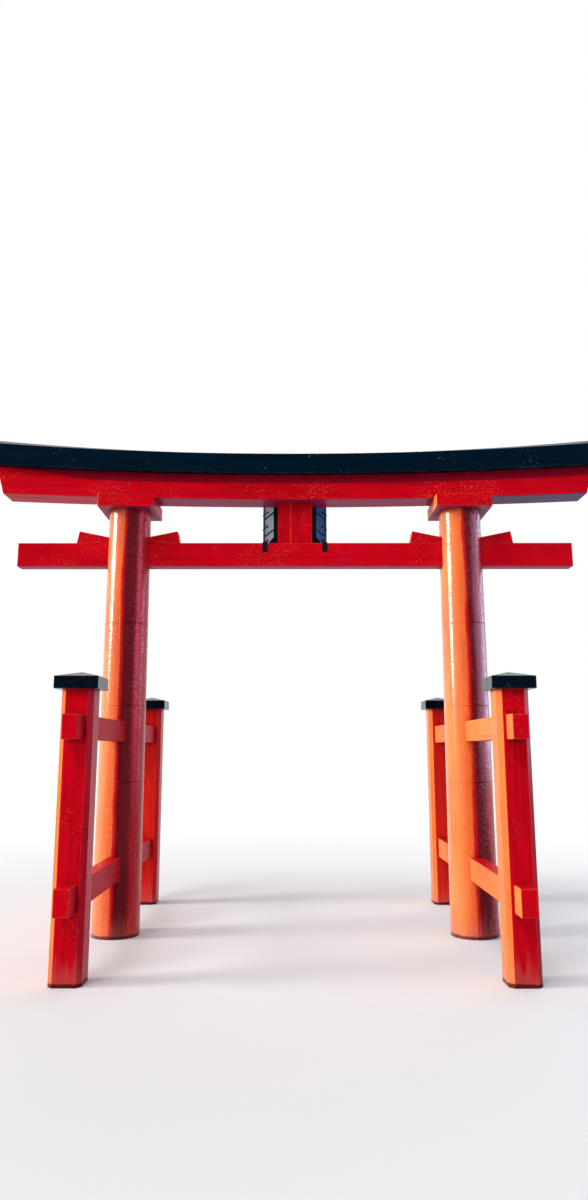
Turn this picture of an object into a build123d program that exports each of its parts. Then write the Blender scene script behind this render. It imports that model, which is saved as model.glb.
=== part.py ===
"""Four-legged torii gate that stands in shallow water, built as its timber pieces.

Millimetres, +Z up. X runs along the gate, -Y is the path side and +Y the lake side.
The origin is the middle of the gate at the water line, where the six legs end.
"""

import os
from math import atan2, cos, degrees, hypot, radians, sqrt, tan

from build123d import *

# Main columns: round and tapered
column_span = 5000.0
column_foot_radius = 333.5
column_top_radius = 308.0
column_height = 6066.0

# Brace posts before and behind each column, with cut corners and black caps
post_size = 373.0
post_corner_cut = 57.0
post_height = 3221.0
post_offset = 2405.0
cap_size = 510.0
cap_edge_height = 144.0
cap_rise = 60.0
cap_top_flat = 24.0

# Tie beams, each running through front post, column and back post
tie_width = 184.0
upper_tie_below_cap = 295.0
upper_tie_depth = 281.0
lower_tie_bottom = 765.0
lower_tie_depth = 300.0
tie_overhang = 258.0

# Through rail below the lintel, locked by a wedge on each side of each column
rail_below_block = 486.0
rail_depth = 359.0
rail_width = 211.0
rail_half_length = 4151.0
wedge_reach_bottom = 772.0
wedge_reach_top = 736.0
wedge_tip_height = 180.0
wedge_slope = 0.2066
wedge_start = 12.0

# Head blocks, and the lintel that sweeps up towards its ends
head_block_size = 824.0
head_block_height = 190.0
lintel_width = 424.0
lintel_depth = 387.0
lintel_bottom_rise = 98.0
lintel_bottom_half_length = 4387.0
lintel_top_rise = 135.0
lintel_joint_gap = 5.0
end_slant = 16.0

# Black roof beam on the lintel: upright sides and a low ridge that lifts at the ends
roof_overhang = 88.0
roof_end_overhang = 82.0
roof_side_middle = 302.0
roof_side_rise = 178.0
roof_ridge_middle = 408.0
roof_ridge_rise = 218.0

# Strut between rail and lintel
strut_width = 514.0
strut_thickness = 120.0

# Plaque on the lake side, leaning on the lintel and carried by two hooks on the rail
board_width = 660.0
plaque_below_roof = 10.0
board_thickness = 32.0
board_border_width = 34.0
board_border_height = 9.0
flare_side = 160.0
flare_depth = 118.0
flare_thickness = 26.0
groove_count = 3
groove_pitch = 276.0
groove_width = 16.0
groove_depth = 7.0
groove_angle = 26.0
hook_inset = 42.0
hook_width = 75.0
hook_thickness = 12.0
hook_drop = 134.0
hook_lip = 46.0
hook_bend = 9.0

# Fits and small edges
mortise_clearance = 1.0
seat_gap = 0.3
arris = 7.0

# Worked out from the sizes above
column_x = column_span / 2
rail_top = column_height - rail_below_block
rail_bottom = rail_top - rail_depth
upper_tie_bottom = post_height - upper_tie_below_cap - upper_tie_depth
tie_half_length = post_offset + post_size / 2 + tie_overhang
slant = tan(radians(end_slant))


def sweep_radius(half_length, rise):
    """Radius of the arc whose ends are higher than its middle by rise."""
    return (half_length**2 + rise**2) / (2 * rise)


def sweep_rise(x, radius):
    """Rise of a swept arc above its lowest point at x."""
    return radius - sqrt(radius**2 - x**2)


lintel_bottom_radius = sweep_radius(lintel_bottom_half_length, lintel_bottom_rise)
block_seat_middle = column_height + head_block_height - sweep_rise(column_x, lintel_bottom_radius)
lintel_bottom_middle = block_seat_middle + seat_gap
lintel_end_height = lintel_depth + lintel_top_rise - lintel_bottom_rise
lintel_top_half_length = lintel_bottom_half_length + slant * lintel_end_height
lintel_top_radius = sweep_radius(lintel_top_half_length, lintel_top_rise)
lintel_top_middle = lintel_bottom_middle + lintel_depth
roof_half_width = lintel_width / 2 + roof_overhang
roof_bottom_middle = lintel_top_middle + seat_gap
roof_bottom_half_length = lintel_top_half_length + roof_end_overhang
roof_side_radius = sweep_radius(roof_bottom_half_length, roof_side_rise)
roof_ridge_radius = sweep_radius(roof_bottom_half_length, roof_ridge_rise)
plaque_back = lintel_width / 2
plaque_front = plaque_back + flare_depth
plaque_bottom = rail_top + hook_thickness
plaque_top = roof_bottom_middle - plaque_below_roof
plaque_middle_height = (plaque_bottom + plaque_top) / 2
board_height = plaque_top - plaque_bottom - 2 * flare_side
hook_x = board_width / 2 + flare_side - hook_inset
flare_wall = flare_thickness / cos(atan2(flare_depth, flare_side))


def upright(x=0.0, y=0.0):
    """Upright sketch plane along the gate, seen from the path, through a place on the ground."""
    return Plane(origin=(x, y, 0), x_dir=(1, 0, 0), z_dir=(0, -1, 0))


def swept_arc(start, end, middle, radius):
    """Part of a swept arc from one x to another."""
    between = (start + end) / 2
    ends = [(x, middle + sweep_rise(x, radius)) for x in (start, between, end)]
    return ThreePointArc(*ends)


def swept_outline(bottom_half, bottom_middle, bottom_radius, top_middle, top_radius):
    """Closed outline between two swept arcs, with ends that lean out going up."""
    bottom_end = bottom_middle + sweep_rise(bottom_half, bottom_radius)
    top_half = bottom_half
    for _ in range(8):
        top_end = top_middle + sweep_rise(top_half, top_radius)
        top_half = bottom_half + slant * (top_end - bottom_end)
    swept_arc(-bottom_half, bottom_half, bottom_middle, bottom_radius)
    Line((bottom_half, bottom_end), (top_half, top_end))
    swept_arc(-top_half, top_half, top_middle, top_radius)
    Line((-top_half, top_end), (-bottom_half, bottom_end))


def finish(piece, name):
    """Label a finished piece and write its file."""
    piece.part.label = name
    export_step(piece.part, f"parts/{name}.step")


def wedge_height(reach):
    """Height of a wedge above the rail at a distance from its column's axis."""
    return wedge_tip_height - wedge_slope * (wedge_reach_top - reach)


def rail_mortise_outline():
    """Hole for the rail and its two wedges, centred on a column."""
    crown = rail_top + wedge_height(0) + mortise_clearance
    shoulder = rail_top + wedge_height(column_foot_radius) + mortise_clearance
    Polyline(
        (-column_foot_radius, rail_bottom),
        (column_foot_radius, rail_bottom),
        (column_foot_radius, shoulder),
        (0, crown),
        (-column_foot_radius, shoulder),
        close=True,
    )


def tie_mortise_outlines():
    """Holes for the two tie beams, resting on their lower edge."""
    for bottom, depth in (
        (upper_tie_bottom, upper_tie_depth),
        (lower_tie_bottom, lower_tie_depth),
    ):
        with Locations((0, bottom)):
            Rectangle(
                tie_width + 2 * mortise_clearance,
                depth + mortise_clearance,
                align=(Align.CENTER, Align.MIN),
            )


def make_column(x, name):
    """Main column with the mortises for rail and tie beams."""
    with BuildPart() as column:
        with BuildSketch(upright(x)):
            with BuildLine():
                Polyline(
                    (0, 0),
                    (column_foot_radius, 0),
                    (column_top_radius, column_height),
                    (0, column_height),
                    close=True,
                )
            make_face()
        revolve(axis=Axis((x, 0, 0), (0, 0, 1)))
        with BuildSketch(upright(x)):
            with BuildLine():
                rail_mortise_outline()
            make_face()
        extrude(amount=rail_width / 2 + mortise_clearance, both=True, mode=Mode.SUBTRACT)
        with BuildSketch(upright(x)):
            tie_mortise_outlines()
        extrude(amount=column_foot_radius, both=True, mode=Mode.SUBTRACT)
    finish(column, name)


def make_post(x, y, name):
    """Square brace post with cut corners and the mortises for both tie beams."""
    with BuildPart() as post:
        with BuildSketch(Plane((x, y, 0))) as section:
            Rectangle(post_size, post_size)
            chamfer(section.vertices(), post_corner_cut)
        extrude(amount=post_height)
        with BuildSketch(upright(x, y)):
            tie_mortise_outlines()
        extrude(amount=post_size / 2, both=True, mode=Mode.SUBTRACT)
    finish(post, name)


def make_cap(x, y, name):
    """Black cap of a brace post: a thick square plate with a low pointed top."""
    with BuildPart() as cap:
        with BuildSketch(Plane((x, y, post_height))):
            Rectangle(cap_size, cap_size)
        extrude(amount=cap_edge_height)
        with BuildSketch(Plane((x, y, post_height + cap_edge_height))):
            Rectangle(cap_size, cap_size)
        extrude(amount=cap_rise, taper=degrees(atan2((cap_size - cap_top_flat) / 2, cap_rise)))
    finish(cap, name)


def make_tie_beam(x, bottom, depth, name):
    """Tie beam from before the front post to behind the back post."""
    with BuildPart() as beam:
        with BuildSketch(upright(x)):
            with Locations((0, bottom)):
                Rectangle(tie_width, depth, align=(Align.CENTER, Align.MIN))
        extrude(amount=tie_half_length, both=True)
        chamfer(beam.edges(), arris)
    finish(beam, name)


def make_rail():
    """Through rail that passes both columns below the lintel."""
    with BuildPart() as rail:
        with BuildSketch(Plane.YZ):
            with Locations((0, rail_bottom)):
                Rectangle(rail_width, rail_depth, align=(Align.CENTER, Align.MIN))
        extrude(amount=rail_half_length, both=True)
        chamfer(rail.edges(), arris)
    finish(rail, "through_rail")


def make_wedge(x, direction, name):
    """Wedge driven into the column's mortise on top of the rail, thick end outside."""
    with BuildPart() as wedge:
        with BuildSketch(upright(x)):
            with BuildLine():
                Polyline(
                    (direction * wedge_start, rail_top),
                    (direction * wedge_reach_bottom, rail_top),
                    (direction * wedge_reach_top, rail_top + wedge_tip_height),
                    (direction * wedge_start, rail_top + wedge_height(wedge_start)),
                    close=True,
                )
            make_face()
        extrude(amount=rail_width / 2, both=True)
    finish(wedge, name)


def make_head_block(x, name):
    """Square block on a column, its top cut to the underside of the lintel."""
    left = x - head_block_size / 2
    right = x + head_block_size / 2
    left_top = block_seat_middle + sweep_rise(left, lintel_bottom_radius)
    right_top = block_seat_middle + sweep_rise(right, lintel_bottom_radius)
    with BuildPart() as block:
        with BuildSketch(upright()):
            with BuildLine():
                swept_arc(left, right, block_seat_middle, lintel_bottom_radius)
                Polyline(
                    (left, left_top),
                    (left, column_height),
                    (right, column_height),
                    (right, right_top),
                )
            make_face()
        extrude(amount=head_block_size / 2, both=True)
        chamfer(block.edges().filter_by(Axis.Z), arris)
    finish(block, name)


def make_lintel(cuts, name):
    """One length of the red lintel, between the given cross cuts."""
    with BuildPart() as lintel:
        with BuildSketch(upright()):
            with BuildLine():
                swept_outline(
                    lintel_bottom_half_length,
                    lintel_bottom_middle,
                    lintel_bottom_radius,
                    lintel_top_middle,
                    lintel_top_radius,
                )
            make_face()
        extrude(amount=lintel_width / 2, both=True)
        chamfer(lintel.edges().filter_by(GeomType.CIRCLE).group_by(Axis.Z)[0], arris)
        for position, kept in cuts:
            split(bisect_by=Plane.YZ.offset(position), keep=kept)
    finish(lintel, name)


def make_roof_beam():
    """Black roof beam: two sloping halves that meet at a ridge above the lintel."""
    with BuildPart() as roof:
        with BuildSketch(upright(0, -roof_half_width)):
            with BuildLine():
                swept_outline(
                    roof_bottom_half_length,
                    roof_bottom_middle,
                    lintel_top_radius,
                    roof_bottom_middle + roof_side_middle,
                    roof_side_radius,
                )
            make_face()
        with BuildSketch(upright()):
            with BuildLine():
                swept_outline(
                    roof_bottom_half_length,
                    roof_bottom_middle,
                    lintel_top_radius,
                    roof_bottom_middle + roof_ridge_middle,
                    roof_ridge_radius,
                )
            make_face()
        loft(ruled=True)
        mirror(about=Plane.XZ)
    finish(roof, "roof_beam")


def make_strut():
    """Flat strut between rail and lintel, its top cut to the lintel's sweep."""
    half = strut_width / 2
    top = block_seat_middle + sweep_rise(half, lintel_bottom_radius)
    with BuildPart() as strut:
        with BuildSketch(upright()):
            with BuildLine():
                swept_arc(-half, half, block_seat_middle, lintel_bottom_radius)
                Polyline((-half, top), (-half, rail_top), (half, rail_top), (half, top))
            make_face()
        extrude(amount=strut_thickness / 2, both=True)
    finish(strut, "strut")


def plaque_plane(y):
    """Upright sketch plane centred on the plaque at a depth."""
    return Plane(origin=(0, y, plaque_middle_height), x_dir=(1, 0, 0), z_dir=(0, -1, 0))


def make_plaque_board():
    """Bare board of the plaque with a raised border on its lake side."""
    with BuildPart() as board:
        with BuildSketch(plaque_plane(plaque_back)):
            Rectangle(board_width, board_height)
        extrude(amount=-board_thickness)
        with BuildSketch(plaque_plane(plaque_back + board_thickness)):
            Rectangle(board_width - 2 * flare_thickness, board_height - 2 * flare_thickness)
            Rectangle(
                board_width - 2 * flare_thickness - 2 * board_border_width,
                board_height - 2 * flare_thickness - 2 * board_border_width,
                mode=Mode.SUBTRACT,
            )
        extrude(amount=-board_border_height)
    finish(board, "plaque_board")


def flare_section(across, up):
    """Section of one flared board, from the plaque's edge out to its rim."""
    rim = flare_side * (flare_depth - flare_wall) / flare_depth
    outline = ((0, 0), (flare_side, flare_depth), (rim, flare_depth), (0, flare_wall))
    if across:
        points = [(across * (board_width / 2 + out), plaque_back + depth) for out, depth in outline]
    else:
        edge = board_height / 2
        points = [
            (plaque_back + depth, plaque_middle_height + up * (edge + out))
            for out, depth in outline
        ]
    Polyline(*points, close=True)


def mitre_outline(across, up):
    """Region of one flared board, bounded by the mitres at its two corners."""
    inner = flare_side / 2
    outer = flare_side + flare_thickness
    half_width = board_width / 2
    half_height = board_height / 2
    if across:
        Polyline(
            (across * (half_width - inner), half_height - inner),
            (across * (half_width + outer), half_height + outer),
            (across * (half_width + outer), -half_height - outer),
            (across * (half_width - inner), -half_height + inner),
            close=True,
        )
    else:
        Polyline(
            (half_width - inner, up * (half_height - inner)),
            (half_width + outer, up * (half_height + outer)),
            (-half_width - outer, up * (half_height + outer)),
            (-half_width + inner, up * (half_height - inner)),
            close=True,
        )


def groove_plane(across):
    """Plane on the path side of a flared side board, centred on its width."""
    return Plane(
        origin=(
            across * (board_width + flare_side) / 2,
            plaque_back + flare_depth / 2,
            plaque_middle_height,
        ),
        x_dir=(across * flare_side, flare_depth, 0),
        z_dir=(across * flare_depth, -flare_side, 0),
    )


def make_plaque_frame(across, up, name):
    """One flared board of the plaque's frame, with slanting grooves on the sides."""
    section_plane = Plane.XY.offset(plaque_middle_height) if across else Plane.YZ
    with BuildPart() as frame:
        with BuildSketch(section_plane):
            with BuildLine():
                flare_section(across, up)
            make_face()
        extrude(amount=(board_width + board_height) / 2 + flare_side, both=True)
        with BuildSketch(plaque_plane(plaque_back)):
            with BuildLine():
                mitre_outline(across, up)
            make_face()
        extrude(amount=-flare_depth, mode=Mode.INTERSECT)
        if across:
            with BuildSketch(groove_plane(across)):
                with GridLocations(0, groove_pitch, 1, groove_count):
                    Rectangle(
                        2 * hypot(flare_side, flare_depth),
                        groove_width,
                        rotation=-across * groove_angle,
                    )
            extrude(amount=-groove_depth, mode=Mode.SUBTRACT)
    finish(frame, name)


def make_hook(x, name):
    """Flat iron hook over the rail, with an arm and a lip that carry the plaque."""
    rail_face = -rail_width / 2 - seat_gap
    arm_end = plaque_front + mortise_clearance
    arm_top = rail_top + hook_thickness
    with BuildPart() as hook:
        with BuildSketch(Plane.YZ.offset(x)):
            with BuildLine():
                Polyline(
                    (rail_face, rail_top - hook_drop),
                    (rail_face, rail_top),
                    (arm_end + hook_thickness, rail_top),
                    (arm_end + hook_thickness, arm_top + hook_lip),
                    (arm_end, arm_top + hook_lip),
                    (arm_end, arm_top),
                    (rail_face - hook_thickness, arm_top),
                    (rail_face - hook_thickness, rail_top - hook_drop),
                    close=True,
                )
            make_face()
        extrude(amount=hook_width / 2, both=True)
        for y, z in (
            (rail_face - hook_thickness, arm_top),
            (arm_end + hook_thickness, rail_top),
        ):
            fillet(hook.edges().filter_by(Axis.X).sort_by_distance((x, y, z))[0], hook_bend)
    finish(hook, name)


os.makedirs("parts", exist_ok=True)
for side, side_name in ((-1, "left"), (1, "right")):
    make_column(side * column_x, f"main_column_{side_name}")
    make_head_block(side * column_x, f"head_block_{side_name}")
    make_tie_beam(
        side * column_x, upper_tie_bottom, upper_tie_depth, f"upper_tie_beam_{side_name}"
    )
    make_tie_beam(
        side * column_x, lower_tie_bottom, lower_tie_depth, f"lower_tie_beam_{side_name}"
    )
    make_wedge(side * column_x, side, f"rail_wedge_{side_name}_outer")
    make_wedge(side * column_x, -side, f"rail_wedge_{side_name}_inner")
    make_hook(side * hook_x, f"plaque_hook_{side_name}")
    make_plaque_frame(side, 0, f"plaque_frame_{side_name}")
    for row, row_name in ((-1, "front"), (1, "back")):
        make_post(side * column_x, row * post_offset, f"brace_post_{side_name}_{row_name}")
        make_cap(side * column_x, row * post_offset, f"post_cap_{side_name}_{row_name}")
make_rail()
make_strut()
joint = column_x + lintel_joint_gap / 2
make_lintel([(-joint, Keep.BOTTOM)], "lintel_left")
make_lintel(
    [(-joint + lintel_joint_gap, Keep.TOP), (joint - lintel_joint_gap, Keep.BOTTOM)],
    "lintel_middle",
)
make_lintel([(joint, Keep.TOP)], "lintel_right")
make_roof_beam()
make_plaque_board()
make_plaque_frame(0, 1, "plaque_frame_top")
make_plaque_frame(0, -1, "plaque_frame_bottom")
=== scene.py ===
"""Looks of a torii gate with four brace posts: vermilion paint, black lacquer, an unlettered plaque.

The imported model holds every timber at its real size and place. This script gives each timber its
finish, adds the small pieces that sit on them, and sets up the floor, the light and the camera.
Lengths are in metres, +Z is up, the gate's front faces -Y, and its plaque hangs at the back.
"""

import logging
from collections.abc import Iterable
from dataclasses import dataclass, replace
from enum import Enum
from math import cos, hypot, pi, radians, sin
from typing import ClassVar

import bmesh
import bpy
from mathutils import Matrix, Vector


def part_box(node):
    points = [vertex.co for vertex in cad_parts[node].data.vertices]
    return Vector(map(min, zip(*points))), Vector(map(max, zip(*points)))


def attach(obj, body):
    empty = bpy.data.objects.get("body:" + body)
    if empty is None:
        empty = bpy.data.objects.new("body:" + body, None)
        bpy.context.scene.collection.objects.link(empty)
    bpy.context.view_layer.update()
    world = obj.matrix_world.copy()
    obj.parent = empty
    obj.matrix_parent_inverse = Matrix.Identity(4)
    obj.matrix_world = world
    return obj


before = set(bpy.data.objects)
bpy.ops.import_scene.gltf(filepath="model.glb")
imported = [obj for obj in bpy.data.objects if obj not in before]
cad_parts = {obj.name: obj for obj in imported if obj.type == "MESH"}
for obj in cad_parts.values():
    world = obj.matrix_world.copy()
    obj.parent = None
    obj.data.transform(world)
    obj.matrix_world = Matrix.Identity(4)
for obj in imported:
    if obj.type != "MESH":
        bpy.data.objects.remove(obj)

Node = bpy.types.Node
Socket = bpy.types.NodeSocket
Outputs = bpy.types.NodeOutputs
Piece = bpy.types.Object
Shape = bmesh.types.BMesh
Triple = tuple[float, float, float]
Colour = tuple[float, float, float, float]
Given = float | Triple | Colour | Vector | Socket
Inputs = dict[str | int, Given]

log = logging.getLogger("torii")

SIDES = ("left", "right")
WHITE: Colour = (1.0, 1.0, 1.0, 1.0)
COLUMN_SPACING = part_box("main_column_right")[0].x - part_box("main_column_left")[0].x


def paint(red: int, green: int, blue: int) -> Colour:
    """Turn a paint shade as seen on a chart into the linear colour that shaders take.

    Args:
        red: Red of the shade, 0 to 255.
        green: Green of the shade, 0 to 255.
        blue: Blue of the shade, 0 to 255.

    Returns:
        The linear colour with full alpha.
    """

    def linear(value: float) -> float:
        """Linear strength of one channel, by the sRGB curve."""
        return value / 12.92 if value <= 0.04045 else ((value + 0.055) / 1.055) ** 2.4

    return (*(linear(channel / 255) for channel in (red, green, blue)), 1.0)


def roof_sweep() -> tuple[float, float]:
    """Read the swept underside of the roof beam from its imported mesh.

    Returns:
        Its height at the middle, and its rise a metre away, which grows as the square of the distance.
    """
    end_length = 0.3
    low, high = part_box("roof_beam")
    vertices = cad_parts["roof_beam"].data.vertices
    end_corners = (vertex.co for vertex in vertices if vertex.co.x > high.x - end_length)
    lowest = min(end_corners, key=lambda corner: corner.z)
    return low.z, (lowest.z - low.z) / lowest.x**2


class Grain(Enum):
    """Direction that the fibres and brush marks of a timber follow."""

    ALONG_GATE = 0
    THROUGH_GATE = 1
    UPRIGHT = 2

    def stretch(self, across: float, along: float) -> Vector:
        """Scale for a pattern whose marks are drawn out along the grain.

        Args:
            across: Width of one mark.
            along: Length of one mark.

        Returns:
            Pattern cells per metre on each axis.
        """
        scale = Vector((1 / across, 1 / across, 1 / across))
        scale[self.value] = 1 / along
        return scale


class Wiring:
    """Short calls that place and link the nodes of one tree."""

    def __init__(self, tree: bpy.types.NodeTree) -> None:
        """Keep the tree that the nodes go into."""
        self.tree = tree

    def place(self, kind: str, inputs: Inputs | None = None, **settings: object) -> Node:
        """Place one node, set its properties and fill its inputs.

        Args:
            kind: The node's type name.
            inputs: Values or linked sockets, by the input's name or number.
            **settings: Properties of the node itself.

        Returns:
            The placed node.
        """
        node = self.tree.nodes.new(kind)
        for name, value in settings.items():
            setattr(node, name, value)
        for name, value in (inputs or {}).items():
            if isinstance(value, Socket):
                self.tree.links.new(value, node.inputs[name])
            else:
                node.inputs[name].default_value = value
        return node

    def position(self) -> Socket:
        """Place on the gate, the same for every timber."""
        return self.place("ShaderNodeTexCoord").outputs["Object"]

    def maths(self, operation: str, first: Given, second: Given = 0.0) -> Socket:
        """Result of one sum on two numbers or sockets, kept between 0 and 1."""
        inputs = {0: first, 1: second}
        return self.place("ShaderNodeMath", inputs, operation=operation, use_clamp=True).outputs[0]

    def open_maths(self, operation: str, first: Given, second: Given = 0.0, third: Given = 0.0) -> Socket:
        """Result of one sum on up to three numbers or sockets, with no limit."""
        inputs = {0: first, 1: second, 2: third}
        return self.place("ShaderNodeMath", inputs, operation=operation).outputs[0]

    def share(self, mask: Given, amount: Given) -> Socket:
        """Mask lowered by an amount or by another mask."""
        return self.maths("MULTIPLY", mask, amount)

    def rise(self, value: Given, start: Given, end: Given, low: Given = 0.0, high: Given = 1.0) -> Socket:
        """Smooth step from low to high while a value goes from start to end."""
        inputs = {"Value": value, "From Min": start, "From Max": end, "To Min": low, "To Max": high}
        return self.place("ShaderNodeMapRange", inputs, interpolation_type="SMOOTHSTEP").outputs["Result"]

    def highest(self, value: Given, share: Given, softness: float) -> Socket:
        """Mask over the highest values of a pattern, wider as the share grows."""
        start = self.open_maths("SUBTRACT", 1.0, share)
        return self.rise(value, start, self.open_maths("ADD", start, softness))

    def mix(self, share: Given, below: Given, above: Given) -> Socket:
        """Colour between two colours, by a mask."""
        return self.place("ShaderNodeMix", {0: share, 6: below, 7: above}, data_type="RGBA").outputs[2]

    def darken(self, share: Given, colour: Given, shade: Given) -> Socket:
        """Colour multiplied by a shade, by a mask."""
        inputs = {0: share, 6: colour, 7: shade}
        return self.place("ShaderNodeMix", inputs, data_type="RGBA", blend_type="MULTIPLY").outputs[2]

    def scaled(self, vector: Socket, scale: Given) -> Socket:
        """Vector times a scale for each axis."""
        inputs = {0: vector, 1: scale}
        return self.place("ShaderNodeVectorMath", inputs, operation="MULTIPLY").outputs[0]

    def agreement(self, first: Socket, second: Socket) -> Socket:
        """How far two directions agree, 1 where they are the same."""
        inputs = {0: first, 1: second}
        return self.place("ShaderNodeVectorMath", inputs, operation="DOT_PRODUCT").outputs["Value"]

    def noise(
        self, place: Socket, scale: Given = 1.0, detail: Given = 3.0, roughness: float = 0.55
    ) -> Socket:
        """Cloudy pattern with so many cells to each unit of its place."""
        inputs = {"Vector": place, "Scale": scale, "Detail": detail, "Roughness": roughness}
        return self.place("ShaderNodeTexNoise", inputs).outputs[0]

    def patches(self, place: Socket, size: Socket, detail: float, roughness: float) -> Socket:
        """Cloudy pattern of patches of one size."""
        return self.noise(place, self.open_maths("DIVIDE", 1.0, size), detail, roughness)

    def effect(self, effect: type["Effect"], inputs: Inputs) -> Outputs:
        """Place a shared effect with this finish's own values, and hand on what it gives."""
        return self.place("ShaderNodeGroup", inputs, node_tree=effect.tree()).outputs

    def drawn(self, place: Socket, cells: Vector, start: float, end: float) -> Outputs:
        """Place marks drawn out along a grain, which begin and are full at two values of a noise."""
        return self.effect(DrawnMarks, {"Place": place, "Cells": cells, "Start": start, "End": end})

    def bump(self, height: Socket, strength: float, distance: float) -> Socket:
        """Direction of a surface with a fine relief on it."""
        inputs = {"Height": height, "Strength": strength, "Distance": distance}
        return self.place("ShaderNodeBump", inputs).outputs[0]

    def shader(self, inputs: Inputs) -> Socket:
        """Place the shader of a finish."""
        return self.place("ShaderNodeBsdfPrincipled", inputs).outputs[0]


class Effect:
    """A node group that several finishes share, written once."""

    name: ClassVar[str]
    vectors: ClassVar[tuple[str, ...]] = ("Place",)
    values: ClassVar[dict[str, float]] = {}
    results: ClassVar[tuple[str, ...]] = ("Mask",)

    @classmethod
    def tree(cls) -> bpy.types.NodeTree:
        """Find the group, or write it when it is first needed.

        Returns:
            The group's node tree.
        """
        found = bpy.data.node_groups.get(cls.name)
        if found:
            return found
        tree = bpy.data.node_groups.new(cls.name, "ShaderNodeTree")
        for name in cls.vectors:
            tree.interface.new_socket(name, in_out="INPUT", socket_type="NodeSocketVector")
        for name, value in cls.values.items():
            socket = tree.interface.new_socket(name, in_out="INPUT", socket_type="NodeSocketFloat")
            socket.default_value = value
        for name in cls.results:
            tree.interface.new_socket(name, in_out="OUTPUT", socket_type="NodeSocketFloat")
        wiring = Wiring(tree)
        given = wiring.place("NodeGroupInput").outputs
        wiring.place("NodeGroupOutput", cls.write(wiring, given))
        return tree

    @classmethod
    def write(cls, wiring: Wiring, given: Outputs) -> dict[str, Socket]:
        """Place the group's nodes, and hand on what it gives, by name."""
        raise NotImplementedError


class DrawnMarks(Effect):
    """Marks drawn out along the grain, such as fibres, brush strokes and rain streaks."""

    name = "drawn_marks"
    vectors = ("Place", "Cells")
    values = {"Start": 0.4, "End": 0.7, "Detail": 3.0}
    results = ("Mask", "Value")

    @classmethod
    def write(cls, wiring: Wiring, given: Outputs) -> dict[str, Socket]:
        """Place noise in stretched cells.

        Args:
            wiring: The group's tree.
            given: The group's inputs.

        Returns:
            The noise as it is, and the marks cut out of it.
        """
        cells = wiring.scaled(given["Place"], given["Cells"])
        value = wiring.noise(cells, detail=given["Detail"], roughness=0.6)
        return {"Mask": wiring.rise(value, given["Start"], given["End"]), "Value": value}


class Blisters(Effect):
    """Small round marks in the paint, gathered in patches."""

    name = "blisters"
    values = {"Size": 0.02, "Patch": 0.6, "Share": 0.5, "Boost": 0.0, "Density": 1.0}
    rim: ClassVar[float] = 0.45
    crown: ClassVar[float] = 0.1

    @classmethod
    def write(cls, wiring: Wiring, given: Outputs) -> dict[str, Socket]:
        """Place the spots of a cell pattern, some of them left out, only where the patches are.

        Args:
            wiring: The group's tree.
            given: The group's inputs.

        Returns:
            The spots' mask.
        """
        cells = wiring.open_maths("DIVIDE", 1.0, given["Size"])
        spots = wiring.place("ShaderNodeTexVoronoi", {"Vector": given["Place"], "Scale": cells}).outputs
        patches = wiring.patches(given["Place"], given["Patch"], detail=4.0, roughness=0.65)
        boosted = wiring.open_maths("ADD", patches, given["Boost"])
        inside = wiring.highest(boosted, given["Share"], softness=0.12)
        round_spot = wiring.rise(spots["Distance"], cls.rim, cls.crown)
        chance = wiring.place("ShaderNodeSeparateColor", {0: spots["Color"]}).outputs["Red"]
        kept = wiring.highest(chance, given["Density"], softness=0.06)
        return {"Mask": wiring.share(wiring.share(inside, round_spot), kept)}


class WornEdges(Effect):
    """Edges where the paint has rubbed thin, broken up by a pattern."""

    name = "worn_edges"
    values = {"Reach": 0.02, "Patch": 0.15, "Share": 0.5}
    begins: ClassVar[float] = 0.995
    full: ClassVar[float] = 0.86

    @classmethod
    def write(cls, wiring: Wiring, given: Outputs) -> dict[str, Socket]:
        """Measure how far a rounded edge turns from the flat face, and cut that by noise.

        Args:
            wiring: The group's tree.
            given: The group's inputs.

        Returns:
            The worn places' mask.
        """
        rounded = wiring.place("ShaderNodeBevel", {"Radius": given["Reach"]}, samples=4).outputs[0]
        flat = wiring.place("ShaderNodeNewGeometry").outputs["Normal"]
        turn = wiring.rise(wiring.agreement(rounded, flat), cls.begins, cls.full)
        patches = wiring.patches(given["Place"], given["Patch"], detail=5.0, roughness=0.7)
        return {"Mask": wiring.share(turn, wiring.highest(patches, given["Share"], softness=0.15))}


class CornerShadeAndGrime(Effect):
    """Painted shade in closed-in spots where timbers meet, which also stands for dust and soot there."""

    name = "corner_shade_and_grime"
    values = {"Reach": 0.15, "Patch": 0.3}
    open_air: ClassVar[float] = 0.85
    closed_in: ClassVar[float] = 0.35
    patchy: ClassVar[tuple[float, float]] = (0.25, 0.6)

    @classmethod
    def write(cls, wiring: Wiring, given: Outputs) -> dict[str, Socket]:
        """Measure how closed in a spot is, and break that up by noise.

        Args:
            wiring: The group's tree.
            given: The group's inputs.

        Returns:
            The mask of the painted shade and grime.
        """
        around = wiring.place("ShaderNodeAmbientOcclusion", {"Distance": given["Reach"]}, samples=6)
        depth = wiring.rise(around.outputs["AO"], cls.open_air, cls.closed_in)
        patches = wiring.patches(given["Place"], given["Patch"], detail=4.0, roughness=0.6)
        return {"Mask": wiring.share(depth, wiring.rise(patches, *cls.patchy))}


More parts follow.
